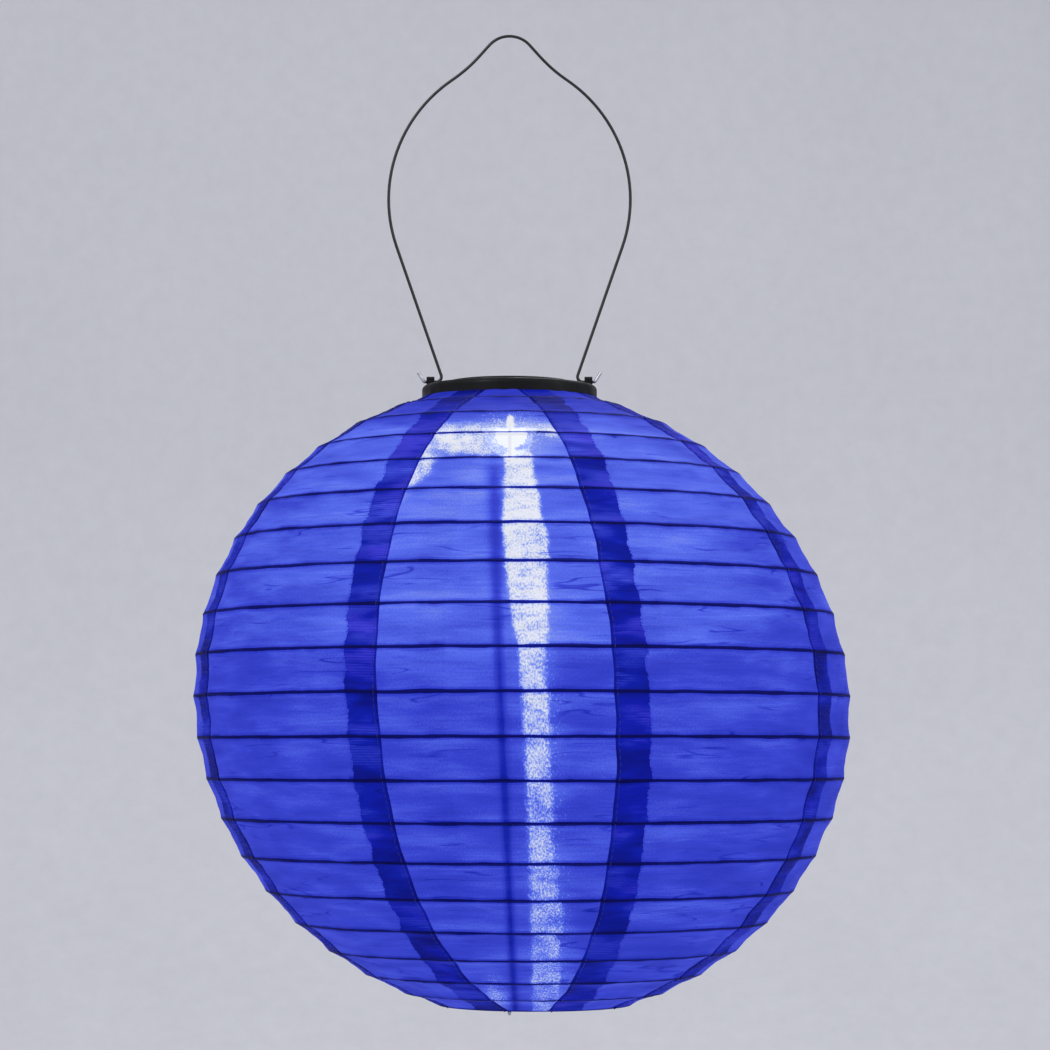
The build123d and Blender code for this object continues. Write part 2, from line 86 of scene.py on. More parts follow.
# ---------------------------------------------------------------- material kit
def linear(red, green, blue):
    """A display colour from 0 to 255 as the linear colour that shaders take."""
    def channel(value):
        value /= 255
        return value / 12.92 if value <= 0.04045 else ((value + 0.055) / 1.055) ** 2.4
    return (channel(red), channel(green), channel(blue), 1.0)


class Material:
    """A node material; every method adds nodes and returns the socket they end in."""

    def __init__(self, name):
        self.material = bpy.data.materials.new(name)
        self.material.use_nodes = True
        self.tree = self.material.node_tree
        self.tree.nodes.clear()
        self.output = self.tree.nodes.new("ShaderNodeOutputMaterial")

    def node(self, kind, settings=(), **inputs):
        made = self.tree.nodes.new(kind)
        for name, value in dict(settings).items():
            setattr(made, name, value)
        for name, value in inputs.items():
            self.put(made.inputs[name.replace("_", " ")], value)
        return made

    def put(self, socket, value):
        if isinstance(value, bpy.types.NodeSocket):
            self.tree.links.new(value, socket)
        else:
            socket.default_value = value

    def math(self, operation, a, b=0.0, c=0.0):
        made = self.node("ShaderNodeMath", {"operation": operation})
        for socket, value in zip(made.inputs, (a, b, c)):
            self.put(socket, value)
        return made.outputs[0]

    def plus(self, a, b):
        return self.math("ADD", a, b)

    def minus(self, a, b):
        return self.math("SUBTRACT", a, b)

    def distance(self, a, b):
        return self.math("ABSOLUTE", self.minus(a, b))

    def product(self, *factors):
        total = factors[0]
        for factor in factors[1:]:
            total = self.math("MULTIPLY", total, factor)
        return total

    def span(self, value, low, high, to_low=0.0, to_high=1.0):
        """value's smooth step from low to high, as a number from to_low to to_high."""
        made = self.node("ShaderNodeMapRange", {"interpolation_type": "SMOOTHSTEP"})
        for name, number in (("Value", value), ("From Min", low), ("From Max", high),
                             ("To Min", to_low), ("To Max", to_high)):
            self.put(made.inputs[name], number)
        return made.outputs[0]

    def number(self, name):
        """A number that the mesh carries."""
        return self.node("ShaderNodeAttribute", {"attribute_name": name}).outputs["Fac"]

    def point(self, x=0.0, y=0.0, z=0.0):
        return self.node("ShaderNodeCombineXYZ", X=x, Y=y, Z=z).outputs[0]

    def place(self):
        return self.node("ShaderNodeTexCoord").outputs["Object"]

    def noise(self, vector, scale, detail=2.0, roughness=0.5):
        made = self.node("ShaderNodeTexNoise", Vector=vector, Scale=scale, Detail=detail,
                         Roughness=roughness)
        return made.outputs["Fac"]

    def stretch(self, vector, x, y, z=1.0):
        made = self.node("ShaderNodeMapping", Vector=vector)
        made.inputs["Scale"].default_value = (x, y, z)
        return made.outputs[0]

    def ramp(self, value, stops):
        """The colour at value along stops, each a place from 0 to 1 and a linear colour."""
        made = self.node("ShaderNodeValToRGB", Fac=value)
        elements = made.color_ramp.elements
        while len(elements) < len(stops):
            elements.new(0.5)
        for element, (position, colour) in zip(elements, stops):
            element.position = position
            element.color = colour
        return made.outputs["Color"]

    def blend(self, share, a, b, kind="MIX"):
        made = self.node("ShaderNodeMix", {"data_type": "RGBA", "blend_type": kind})
        for index, value in ((0, share), (6, a), (7, b)):
            self.put(made.inputs[index], value)
        return made.outputs[2]

    def bump(self, height, strength, distance):
        return self.node("ShaderNodeBump", Height=height, Strength=strength,
                         Distance=distance).outputs[0]

    def surface(self, **inputs):
        """The one shader of the material, from its inputs by name."""
        shader = self.node("ShaderNodeBsdfPrincipled", **inputs)
        self.tree.links.new(shader.outputs[0], self.output.inputs[0])
        return shader


def finished(name, dark, light, roughness, grain, relief, metallic=0.0, specular=0.5):
    """A plain solid finish: mottled colour, roughness that varies, and a fine relief."""
    made = Material(name)
    place = made.place()
    mottle = made.noise(place, 1 / grain, 4.0, 0.6)
    worn = made.noise(place, 0.12 / grain, 3.0, 0.55)
    colour = made.ramp(made.plus(made.product(mottle, 0.6), made.product(worn, 0.4)),
                       [(0.3, dark), (0.7, light)])
    rough = made.span(worn, 0.3, 0.7, roughness * 0.8, min(1.0, roughness * 1.25))
    shader = made.surface(Base_Color=colour, Roughness=rough, Metallic=metallic,
                          Normal=made.bump(mottle, 0.35, relief))
    shader.inputs["Specular IOR Level"].default_value = specular
    return made.material


# ---------------------------------------------------------------- the cover's shape
GORES = 8
FRONT_GORE = 1                  # the gore that the lamp's beam falls on
FIRST_SEAM = -71.9              # direction of the first seam band, from -Y towards +X
GORE_TURN = 360 / GORES
BAND = 0.0165                   # width of a seam's folded allowance
SEAM_SIDES = (1, 1, -1, -1, -1, -1, -1, -1)     # which way each band lies from its seam line
CLOTH_PROUD = 0.0007            # from a wire's surface to the cover's sheet
STRIP_ROWS = 12
STRIP_SAG = 0.0008              # how far a strip pulls in between its hoops
HEM_DEPTH = 0.008               # of the cloth turned up inside the foot ring
HEM_ROWS = 10                   # round the foot ring
HEM_EDGE_ROWS = 4               # from there up to the hem's raw edge
HEM_TONE = 0.004                # the hem is coloured as cloth this far from a hoop
WRINKLE = 0.00042               # height of a strip's creases
COLUMNS = 68                    # across a gore
EDGE_COLUMNS = (0.0, 0.006, 0.014)      # shares across it of the closer columns at its edge
SEAM_GROOVE = (0.00035, 0.0012)     # how deep a gore dips at its stitched line, and how wide
ALLOWANCE_DEPTH = 0.00055       # from the cover's sheet in to the seam's folded allowance
ALLOWANCE_COLUMNS = 6
CARRIED = ("across", "along", "hoop", "seam", "glow", "shadow", "beam")     # on each point


def wire_ring(node):
    """Middle of a level wire ring: its x, its level, its radius and its wire's radius."""
    low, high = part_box(node)
    wire = (high.z - low.z) / 2
    return (low.x + high.x) / 2, (low.z + high.z) / 2, (high.x - low.x) / 2 - wire, wire


hoops = [wire_ring(name) for name in sorted(nodes) if name.startswith("hoop_")]
foot = wire_ring("foot_ring")
collar_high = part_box("collar_ring")[1]
cover_top = max(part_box(f"gore_{k + 1}")[1].z for k in range(GORES))
mouth = (0.0, cover_top - hoops[0][3], collar_high.x - hoops[0][3] * 1.6, hoops[0][3])
holders = [mouth] + hoops + [foot]      # what the cloth is stretched over, from the top


def outward(index):
    """The cover's outward direction at a holder, as its radial and upward parts."""
    before = holders[max(index - 1, 0)]
    after = holders[min(index + 1, len(holders) - 1)]
    radial, level = before[2] - after[2], before[1] - after[1]
    length = hypot(radial, level)
    return level / length, -radial / length


def held(index):
    """Where the sheet lies over a holder: its radius and its level."""
    normal = outward(index)
    reach = holders[index][3] + CLOTH_PROUD
    return holders[index][2] + reach * normal[0], holders[index][1] + reach * normal[1]


def shift(level):
    """How far the cover's middle stands along +X at a level."""
    top, low = hoops[0], hoops[-1]
    return top[0] + (low[0] - top[0]) * (top[1] - level) / (top[1] - low[1])


def profile():
    """The sheet's rows from the collar down, round the foot ring and up into the hem.

    Each has its radius and level, its inward direction, its share of the sag, the strip that it
    is in, its length from the top and its distance from the nearest hoop.
    """
    rows = []
    run = 0.0
    for strip in range(len(holders) - 1):
        start, end = held(strip), held(strip + 1)
        chord = hypot(end[0] - start[0], end[1] - start[1])
        inward = ((end[1] - start[1]) / chord, -(end[0] - start[0]) / chord)
        for row in range(STRIP_ROWS + (strip == len(holders) - 2)):
            share = 0.5 - 0.5 * cos(pi * row / STRIP_ROWS)
            share = 0.45 * share + 0.55 * row / STRIP_ROWS
            rows.append(dict(
                radius=start[0] + (end[0] - start[0]) * share,
                level=start[1] + (end[1] - start[1]) * share,
                inward=inward, sag=4 * share * (1 - share), strip=strip,
                along=run + chord * share,
                hoop=min(share, 1 - share) * chord if strip else (1 - share) * chord))
        run += chord
    last = rows[-1]
    normal = outward(len(holders) - 1)
    lean = atan2(normal[1], normal[0])
    reach = foot[3] + CLOTH_PROUD
    wrap = pi / HEM_ROWS
    for row in range(1, HEM_ROWS + 1):
        turn = lean - wrap * row
        rows.append(dict(
            radius=foot[2] + reach * cos(turn), level=foot[1] + reach * sin(turn),
            inward=(0, 0), sag=0, strip=last["strip"] + 1, along=run + reach * wrap * row,
            hoop=HEM_TONE))
    end = rows[-1]
    for row in range(1, HEM_EDGE_ROWS + 1):
        step = HEM_DEPTH * row / HEM_EDGE_ROWS
        rows.append(dict(
            radius=end["radius"] - normal[1] * step, level=end["level"] + normal[0] * step,
            inward=(0, 0), sag=0, strip=end["strip"], along=end["along"] + step, hoop=HEM_TONE))
    return rows


rows = profile()


def seam_line(seam, row, off=0.0):
    """Direction of a stitched line on a row, moved off along its band, in degrees from -Y to +X."""
    side = SEAM_SIDES[seam % GORES]
    wander = 0.0009 * noise.noise(Vector((row["along"] / 0.016, 3.3 * (seam % GORES), 0.5)))
    wander -= 0.0007 * row["sag"]
    moved = side * (BAND / 2 + wander - off)
    return FIRST_SEAM + GORE_TURN * seam + degrees(moved / row["radius"])


def cloth_point(row, direction, inner=0.0):
    """A point of the cover, with its sag and wrinkles, moved in by inner."""
    turn = radians(direction)
    arc = Vector((sin(turn), -cos(turn), 0))
    across = row["radius"] * turn
    slack = 1 + 0.5 * noise.noise(arc * 4.3 + Vector((0, 0, row["strip"] * 3.1)))
    creased = noise.noise(Vector((across / 0.034, row["along"] / 0.0045, 7.7 + row["strip"])))
    creased += 0.6 * noise.noise(Vector((across / 0.012 + row["along"] / 0.02,
                                         row["along"] / 0.009, 2.2)))
    wave = noise.noise(arc * 9.0 + Vector((0, 0, row["strip"] * 1.7)))
    depth = row["sag"] * (STRIP_SAG * slack + WRINKLE * creased) + inner
    radius = row["radius"] + row["inward"][0] * depth
    if row["inward"] == (0, 0):
        radius -= inner
    level = row["level"] + row["inward"][1] * depth
    level += 0.00035 * wave * (row["sag"] > 0)
    return Vector((shift(level) + radius * sin(turn), -radius * cos(turn), level))


# ---------------------------------------------------------------- the lamp's light and shade, painted on the cover
# To the side is metres from the cover's middle, a drop is metres down from the lamp, and a depth
# is a share of the cover's height.
LAMP_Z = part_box("led_dome")[0].z + 0.004
NEAR_REACH = 0.075              # how far down the cover is brighter for being near the lamp
UPPER_BRIGHT = (0.20, 0.08, 0.046)      # brighter strips below the lamp: how much, side, drop
LIMB_DARK = 0.13                # painted shade: how much darker the glow is on the cover's two sides painted shade: how much darker the glow is above the lamp
ABOVE_DARK = 0.40               # how much darker the cover is above the lamp
STREAK_PATH = (0.0014, 0.0135, -0.0095)     # the streak's middle, as a quadratic in the depth
STREAK_HALF = 0.0036
STREAK_SWELL = (0.0042, 0.28, 0.13)     # how much wider it gets, about what depth, how far
STREAK_SPREAD = 0.0018          # how much wider it is at the foot
STREAK_SOFT = 0.0034
SCATTER_REACH = 0.013
LOW_GLINTS = (-0.017, 0.009, 0.98, 0.05)    # their middle and reach to the side, then in depth
WING_DROP = 0.0075
WING_REACH = (0.068, 0.022)     # to the left and to the right
WING_BEND = 0.028               # where the left wing starts to run down its seam
WING_SOFT = 0.0090
DISC_RADIUS = 0.0062
FLARE_HALF = 0.0022
HALO_REACH = 0.013
LEG_PLACE = -0.0073             # the shadow of the spreader's leg
LEG_DRIFT = -0.0016
LEG_HALF = 0.0040
LEG_NARROWING = 0.0023


def bell(value, middle, half):
    """1 at middle, falling smoothly to 0.37 at half to either side."""
    return exp(-((value - middle) / half) ** 2)


def plateau(value, half, soft):
    """1 within half of zero, falling to 0 over soft."""
    share = min(1.0, max(0.0, (half + soft - abs(value)) / soft))
    return share * share * (3 - 2 * share)


def patchy(side, drop, size, seed):
    """Soft patches of a size, from about -0.5 to 0.5."""
    return noise.noise(Vector((side / size, drop / size, seed)))


def beam_on(side, drop, depth, strip):
    """The lamp's beam on the front of the cover: a streak, two wings, a disc and their scatter."""
    jitter = 0.0011 * noise.noise(Vector((strip * 7.3, 0.5, 0.0)))
    rough = patchy(side, drop, 0.0035, 4.0)
    broad = patchy(side, drop, 0.009, 9.0)

    start, drift, bow = STREAK_PATH
    swell, swell_depth, swell_reach = STREAK_SWELL
    middle = start + drift * depth + bow * depth * depth + jitter
    half = STREAK_HALF + swell * bell(depth, swell_depth, swell_reach)
    half += STREAK_SPREAD * depth + jitter
    below = min(1.0, max(0.0, drop - 0.004) / 0.006)
    streak = plateau(side - middle + 0.0013 * rough, half, STREAK_SOFT)
    streak *= (1.02 - 0.42 * depth + 0.10 * broad) * below
    scatter = 0.5 * bell(side, middle + 0.002, SCATTER_REACH) * below * min(1.0, depth / 0.5)
    glints = 0.62 * bell(side, *LOW_GLINTS[:2]) * bell(depth, *LOW_GLINTS[2:])

    left, right = max(0.0, -side), max(0.0, side)
    edge = WING_DROP + 0.9 * max(0.0, left - WING_BEND) + 0.0035 * broad
    wing = plateau(drop - edge / 2, edge / 2, WING_SOFT)
    wing *= 0.70 + 4.0 * min(left, 0.03) + 0.2 * rough + 0.25 * broad
    wing *= plateau(side + WING_REACH[0] / 2, WING_REACH[0] / 2, 0.008)
    right_wing = 0.85 * bell(drop, -0.001, 0.0060) * plateau(right, WING_REACH[1], 0.012)

    radius = hypot(side, drop - 0.0005)
    disc = 1.5 * plateau(radius, DISC_RADIUS, 0.0014) * (drop > -0.0015)
    flare = 1.5 * bell(side, 0.0, FLARE_HALF) * plateau(drop - 0.003, 0.009, 0.006)
    halo = 0.80 * bell(hypot(0.6 * side, drop), 0.0, HALO_REACH)
    return max(streak, scatter, glints, wing, right_wing, disc, flare, halo)


def light_on(row, direction, front):
    """How bright the cover glows, and on the front gore the leg's soft shadow and the beam."""
    drop = LAMP_Z - row["level"]
    turn = radians(direction)
    side = row["radius"] * sin(turn)
    near = exp(-max(0.0, drop) / NEAR_REACH)
    glow = 0.99 + 0.26 * near + 0.06 * bell(row["strip"], 7.2, 1.6) * (row["strip"] < 8.5)
    # painted shade towards the cover's two sides, and above the lamp
    glow *= 1 - LIMB_DARK * sin(turn) ** 4
    if drop < 0:
        glow -= ABOVE_DARK * min(1.0, -drop / 0.016)
    more, wide, deep = UPPER_BRIGHT
    glow += more * bell(side, 0.0, wide) * plateau(drop - deep, deep, 0.016)
    if not front:
        return glow, 0.0, 0.0
    depth = (cover_top - row["level"]) / (cover_top - foot[1])
    leg = LEG_PLACE + LEG_DRIFT * min(1.0, depth / 0.4)
    narrow = min(1.0, depth / 0.5)
    shadow = bell(side, leg, LEG_HALF - LEG_NARROWING * narrow) * (1.0 + 0.4 * narrow)
    shadow *= min(1.0, max(0.0, drop - 0.010) / 0.012)
    return glow, shadow, beam_on(side, drop, depth, row["strip"])


# ---------------------------------------------------------------- the cover's sheets
def sheet_object(name, grid, carried, strips, cloth):
    """A mesh from a grid of points; carried holds each point's numbers, strips each row's."""
    height, width = len(grid), len(grid[0])
    mesh = bpy.data.meshes.new(name)
    faces = [(r * width + c, r * width + c + 1, (r + 1) * width + c + 1, (r + 1) * width + c)
             for r in range(height - 1) for c in range(width - 1)]
    mesh.from_pydata([p for line in grid for p in line], [], faces)
    mesh.shade_smooth()
    for key, values in zip(CARRIED, zip(*carried)):
        mesh.attributes.new(key, "FLOAT", "POINT").data.foreach_set("value", values)
    per_face = [strips[r] for r in range(height - 1) for c in range(width - 1)]
    mesh.attributes.new("strip", "FLOAT", "FACE").data.foreach_set("value", per_face)
    mesh.materials.append(cloth)
    made = bpy.data.objects.new(name, mesh)
    bpy.context.scene.collection.objects.link(made)
    return made


def flatten_with_fold(piece):
    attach(piece, "lantern")
    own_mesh(piece)


def columns():
    """Shares across a gore, closer together by its two edges."""
    inner = [EDGE_COLUMNS[-1] + (1 - 2 * EDGE_COLUMNS[-1]) * i / COLUMNS
             for i in range(COLUMNS + 1)]
    return list(EDGE_COLUMNS[:-1]) + inner + [1 - e for e in reversed(EDGE_COLUMNS[:-1])]


def gore_sheet(index, cloth):
    """One gore, with its flat width, its length and its area."""
    band_on_left = SEAM_SIDES[index] < 0
    band_on_right = SEAM_SIDES[(index + 1) % GORES] > 0
    groove_depth, groove_width = SEAM_GROOVE
    grid, carried = [], []
    width = 0.0
    area = 0.0
    for number, row in enumerate(rows):
        left = seam_line(index, row)
        right = seam_line(index + 1, row)
        wide = row["radius"] * radians(right - left)
        width = max(width, wide)
        if number:
            area += wide * (row["along"] - rows[number - 1]["along"])
        line = []
        for share in columns():
            direction = left + (right - left) * share
            reach = min(share, 1 - share) * wide
            seam = min(share * wide if band_on_left else 1.0,
                       (1 - share) * wide if band_on_right else 1.0)
            groove = groove_depth * max(0.0, 1 - reach / groove_width)
            line.append(cloth_point(row, direction, groove))
            carried.append((wide * (share - 0.5) + 0.31 * index, row["along"], row["hoop"], seam,
                            *light_on(row, direction, index == FRONT_GORE)))
        grid.append(line)
    strips = [row["strip"] + 0.37 * index for row in rows]
    made = sheet_object(f"cover_gore_{index + 1}", grid, carried, strips, cloth)
    flatten_with_fold(made)
    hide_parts(f"gore_{index + 1}")
    return made, width, rows[-1]["along"], area


def seam_allowance(seam, cloth):
    """The folded cloth behind a seam, with a raw edge that wanders, inside the cover."""
    grid, carried = [], []
    kept = [row for row in rows if row["inward"] != (0, 0)]
    for row in kept:
        line = []
        wander = noise.noise(Vector((row["along"] / 0.011, seam * 5.0, 0)))
        wide = BAND * (1 + 0.06 * wander)
        for step in range(ALLOWANCE_COLUMNS + 1):
            out = wide * step / ALLOWANCE_COLUMNS
            line.append(cloth_point(row, seam_line(seam, row, out), ALLOWANCE_DEPTH))
            carried.append((out + 0.13 * seam, row["along"], row["hoop"], out, 0.9, 0.0, 0.0))
        grid.append(line)
    made = sheet_object(f"seam_allowance_{seam + 1}", grid, carried,
                        [row["strip"] for row in kept], cloth)
    flatten_with_fold(made)
    return made


STITCH_PITCH = 0.0030
STITCH_LENGTH = 0.0021
STITCH_RADIUS = 0.00016
STITCH_INSET = 0.0016           # from the fold of the seam to its stitches
STITCH_PROUD = 0.00012
STITCH_SIDES = 6
STITCH_SECTIONS = ((-0.5, 0.35), (-0.3, 1.0), (0.3, 1.0), (0.5, 0.35))  # place, girth


def stitch(mesh, middle, forward):
    """One short rounded length of thread."""
    side = forward.cross(Vector((middle.x, middle.y, 0))).normalized()
    up = side.cross(forward)
    turns = [2 * pi / STITCH_SIDES * i for i in range(STITCH_SIDES)]
    rings = []
    for place, girth in STITCH_SECTIONS:
        centre = middle + forward * (place * STITCH_LENGTH)
        rings.append([mesh.verts.new(centre + girth * STITCH_RADIUS *
                                     (cos(t) * side + sin(t) * up)) for t in turns])
    for low, high in zip(rings, rings[1:]):
        for i in range(STITCH_SIDES):
            after = (i + 1) % STITCH_SIDES
            mesh.faces.new((low[i], low[after], high[after], high[i]))
    mesh.faces.new(list(reversed(rings[0])))
    mesh.faces.new(rings[-1])


def stitches(seam, thread):
    """One row of lockstitches along a seam line."""
    path = [cloth_point(row, seam_line(seam, row, STITCH_INSET), -STITCH_PROUD)
            for row in rows if row["inward"] != (0, 0)]
    mesh = bmesh.new()
    travelled, wanted = 0.0, STITCH_PITCH
    for a, b in zip(path, path[1:]):
        step = (b - a).length
        while travelled + step > wanted:
            stitch(mesh, a.lerp(b, (wanted - travelled) / step), (b - a).normalized())
            wanted += STITCH_PITCH
        travelled += step
    data = bpy.data.meshes.new(f"seam_stitches_{seam + 1}")
    mesh.to_mesh(data)
    mesh.free()
    data.shade_smooth()
    made = bpy.data.objects.new(data.name, data)
    bpy.context.scene.collection.objects.link(made)
    data.materials.append(thread)
    flatten_with_fold(made)
    return made


# ---------------------------------------------------------------- cloth material
GLOW_STOPS = (                  # glow as a third of its number, and the colour it shows
    (0.0, (0, 0, 16)), (0.08, (2, 6, 84)), (0.2, (8, 28, 166)), (0.333, (58, 71, 212)),
    (0.443, (93, 116, 246)), (0.6, (150, 170, 250)), (0.8, (215, 226, 252)),
    (1.0, (252, 254, 255)))
SELF_LIGHT = 0.86               # share of the glow that the lamp gives; the studio gives the rest
SEE_THROUGH = 0.06
PALE_PITCH = 0.0195             # between the faint pale lines across the cloth
RIB_PITCH = 0.00115             # between the ribs of a seam's folded allowance
HOOP_LINE = (0.00032, 0.00074)  # half the width of the painted shadow line over a hoop
SHADOW_DEPTH = 0.30
VIOLET_TINT = (1.6, 0.8, 1.1, 1.0)


class Cloth(Material):
    """Woven nylon with the lamp's light through it painted in as a glow; the methods below add one
    thing each to that painted glow.
    """

    def __init__(self):
        super().__init__("woven_nylon")
        self.across, self.along = self.number("across"), self.number("along")
        self.hoop, self.seam = self.number("hoop"), self.number("seam")
        self.strip = self.number("strip")
        self.plain = self.point(self.across, self.along, 0.0)
        self.flat = self.point(self.across, self.along, self.product(self.strip, 0.05))
        self.grain = self.noise(self.stretch(self.plain, 1500, 900), 1.0, 1.0)
        self.slub = self.noise(self.stretch(self.plain, 60, 1100), 1.0, 1.0)
        self.cloud = self.noise(self.stretch(self.flat, 22, 70, 60), 1.0, 3.0)
        self.wrinkle = self.noise(self.stretch(self.flat, 26, 210, 60), 1.0, 2.0, 0.6)
        self.inside = self.band_depth()
        self.band = self.span(self.inside, 0.0, 0.0004)

    def band_depth(self):
        """How far a point is inside a seam's band, whose raw edge wanders and dips at hoops."""
        wander = self.noise(self.point(0.0, self.product(self.along, 90), self.strip),
                            1.0, 3.0, 0.7)
        edge = self.plus(BAND - 0.0006, self.product(self.minus(wander, 0.5), 0.006))
        return self.minus(self.minus(edge, self.product(self.hoop, 0.13)), self.seam)

    def woven(self):
        """The glow that the mesh carries, mottled by the weave and in patches, with painted light
        and shade along the wrinkles.
        """
        return self.product(
            self.number("glow"),
            self.span(self.grain, 0.2, 0.8, 0.95, 1.05),
            self.span(self.slub, 0.25, 0.75, 0.97, 1.03),
            self.span(self.cloud, 0.25, 0.75, 0.87, 1.12),
            self.span(self.wrinkle, 0.25, 0.75, 0.95, 1.06))

    def creased(self, glow):
        """Painted shade in sharp creases: the thin contour where a stretched noise passes its
        middle.
        """
        fold = self.noise(self.stretch(self.flat, 14, 120, 60), 1.0, 2.0, 0.55)
        here = self.span(self.noise(self.stretch(self.flat, 30, 90, 90), 1.0), 0.52, 0.66)
        crease = self.product(self.span(self.distance(fold, 0.5), 0.0, 0.02, 1.0, 0.0), here)
        return self.product(glow, self.minus(1.0, self.product(crease, 0.30)))

    def pale_lined(self, glow):
        """Faint pale lines that rise a little to one side."""
        tilt = self.plus(self.along, self.product(self.across, 0.045))
        turn = self.math("FRACT", self.product(tilt, 1 / PALE_PITCH))
        pale = self.span(self.distance(turn, 0.47), 0.0, 0.022, 1.0, 0.0)
        return self.plus(glow, self.product(pale, 0.10, self.span(self.cloud, 0.45, 0.6)))

    def banded(self, glow):
        """The seam's folded allowance: a band where the painted glow is dimmer through the doubled
        cloth, with painted shade in its folds, and its own ribs and raw edge.
        """
        tone = self.noise(self.point(self.product(self.across, 30), self.product(self.along, 75),
                                     self.product(self.strip, 2.3)), 1.0, 2.0)
        ribs = self.math("SINE", self.product(self.along, 2 * pi / RIB_PITCH))
        ribs = self.product(ribs, self.span(tone, 0.5, 0.62), 0.07)
        pucker = self.noise(self.stretch(self.flat, 45, 240, 80), 1.0, 3.0, 0.6)
        darker = self.plus(self.span(tone, 0.33, 0.64, 0.38, 0.74), ribs)
        darker = self.product(darker, self.span(pucker, 0.3, 0.5, 0.78, 1.0))
        glow = self.product(glow, self.plus(1.0, self.product(
            self.band, self.minus(darker, 1.0))))
        line = self.span(self.distance(self.seam, 0.0004), 0.0002, 0.0007, 0.72, 1.0)
        threads = self.noise(self.stretch(self.plain, 900, 1600), 1.0)
        fray = self.product(
            self.span(self.math("ABSOLUTE", self.inside), 0.0, 0.0012, 0.35, 0.0),
            self.span(threads, 0.5, 0.6))
        return self.product(glow, line, self.minus(1.0, fray))

    def lamp_lit(self, glow):
        """The lamp's beam sparkles through the weave; the spreader's leg shades it."""
        spark = self.noise(self.stretch(self.plain, 1250, 820), 1.0, 2.0, 0.7)
        patches = self.noise(self.stretch(self.flat, 150, 230, 40), 1.0, 2.0)
        beam = self.product(self.number("beam"), self.span(patches, 0.3, 0.62, 0.84, 1.06),
                            self.span(self.band, 0.0, 1.0, 1.0, 0.35))
        lit = self.span(self.plus(spark, self.product(beam, 0.55)), 0.74, 1.14)
        haze = self.math("POWER", beam, 1.9)
        glow = self.plus(glow, self.plus(self.product(lit, 1.25), self.product(haze, 0.74)))
        return self.product(glow, self.minus(1.0, self.product(
            self.number("shadow"), SHADOW_DEPTH)))

    def hoop_shadowed(self, glow):
        """The hoop's painted shadow on the cloth: a dark line, a little uneven, in a wider, softer
        painted shade.
        """
        ragged = self.noise(self.stretch(self.flat, 55, 1, 90), 1.0, 3.0, 0.6)
        half = self.span(ragged, 0.3, 0.75, *HOOP_LINE)
        # painted shadow of the hoop's wire, then painted shade of the tuck round it
        wire = self.span(self.minus(self.hoop, half), 0.0, 0.00045, 0.16, 1.0)
        tuck_shade = self.span(self.minus(self.hoop, self.product(half, 2.6)), 0.0, 0.0008, 0.86, 1.0)
        return self.product(glow, wire, tuck_shade)

    def coloured(self, glow):
        """The colour of a glow, more violet in patches of the seams' bands."""
        colour = self.ramp(self.product(glow, 1 / 3), [(at, linear(*c)) for at, c in GLOW_STOPS])
        patches = self.noise(self.stretch(self.flat, 20, 60, 130), 1.0)
        violet = self.product(self.band, self.span(patches, 0.46, 0.6), 0.62)
        return self.blend(violet, colour, self.blend(1.0, colour, VIOLET_TINT, "MULTIPLY"))


def cloth_material():
    """The cloth's shader: dyed nylon with the lamp's light painted in as its glow, letting a little
    of what is behind through.
    """
    made = Cloth()
    glow = made.woven()
    for add in (made.creased, made.pale_lined, made.banded, made.lamp_lit, made.hoop_shadowed):
        glow = add(glow)

    weave = made.plus(made.product(made.grain, 0.5), made.product(made.slub, 0.5))
    relief = made.plus(made.product(weave, 0.25), made.product(made.wrinkle, 1.2))
    dye = made.ramp(made.cloud, [(0.3, linear(5, 6, 56)), (0.7, linear(8, 10, 78))])
    shader = made.surface(
        Base_Color=dye, Roughness=made.span(weave, 0.3, 0.7, 0.5, 0.75),
        Normal=made.bump(relief, 0.5, 0.0006), Emission_Color=made.coloured(glow))
    shader.inputs["Emission Strength"].default_value = SELF_LIGHT
    shader.inputs["Specular IOR Level"].default_value = 0.04
    clear = made.node("ShaderNodeBsdfTransparent", Color=(0.7, 0.78, 1.0, 1.0))
    mixed = made.node("ShaderNodeMixShader")
    mixed.inputs[0].default_value = SEE_THROUGH
    made.put(mixed.inputs[1], shader.outputs[0])
    made.put(mixed.inputs[2], clear.outputs[0])
    made.put(made.output.inputs[0], mixed.outputs[0])
    return made.material


cloth = cloth_material()
thread = finished("thread", linear(10, 14, 90), linear(26, 34, 140), 0.6, 0.0004, 0.00005)
seams = [(seam_allowance(k, cloth), stitches(k, thread)) for k in range(GORES)]
for k in range(GORES):
    gore, width, length, area = gore_sheet(k, cloth)


# ---------------------------------------------------------------- finishes of the CAD nodes
def glowing(name, colour, strength):
    """Clear plastic lit from within."""
    made = Material(name)
    place = made.place()
    swirl = made.noise(place, 300, 2.0)
    shader = made.surface(Base_Color=(0.9, 0.92, 1.0, 1.0),
                          Roughness=made.span(swirl, 0.3, 0.7, 0.2, 0.4),
                          Emission_Color=made.ramp(swirl, [(0.2, colour), (0.8, (1, 1, 1, 1))]))
    shader.inputs["Emission Strength"].default_value = strength
    return made.material


TIP_START = 0.039               # how far to each side the bail's bare ends begin
TIP_LEVELS = (-0.162, -0.151)


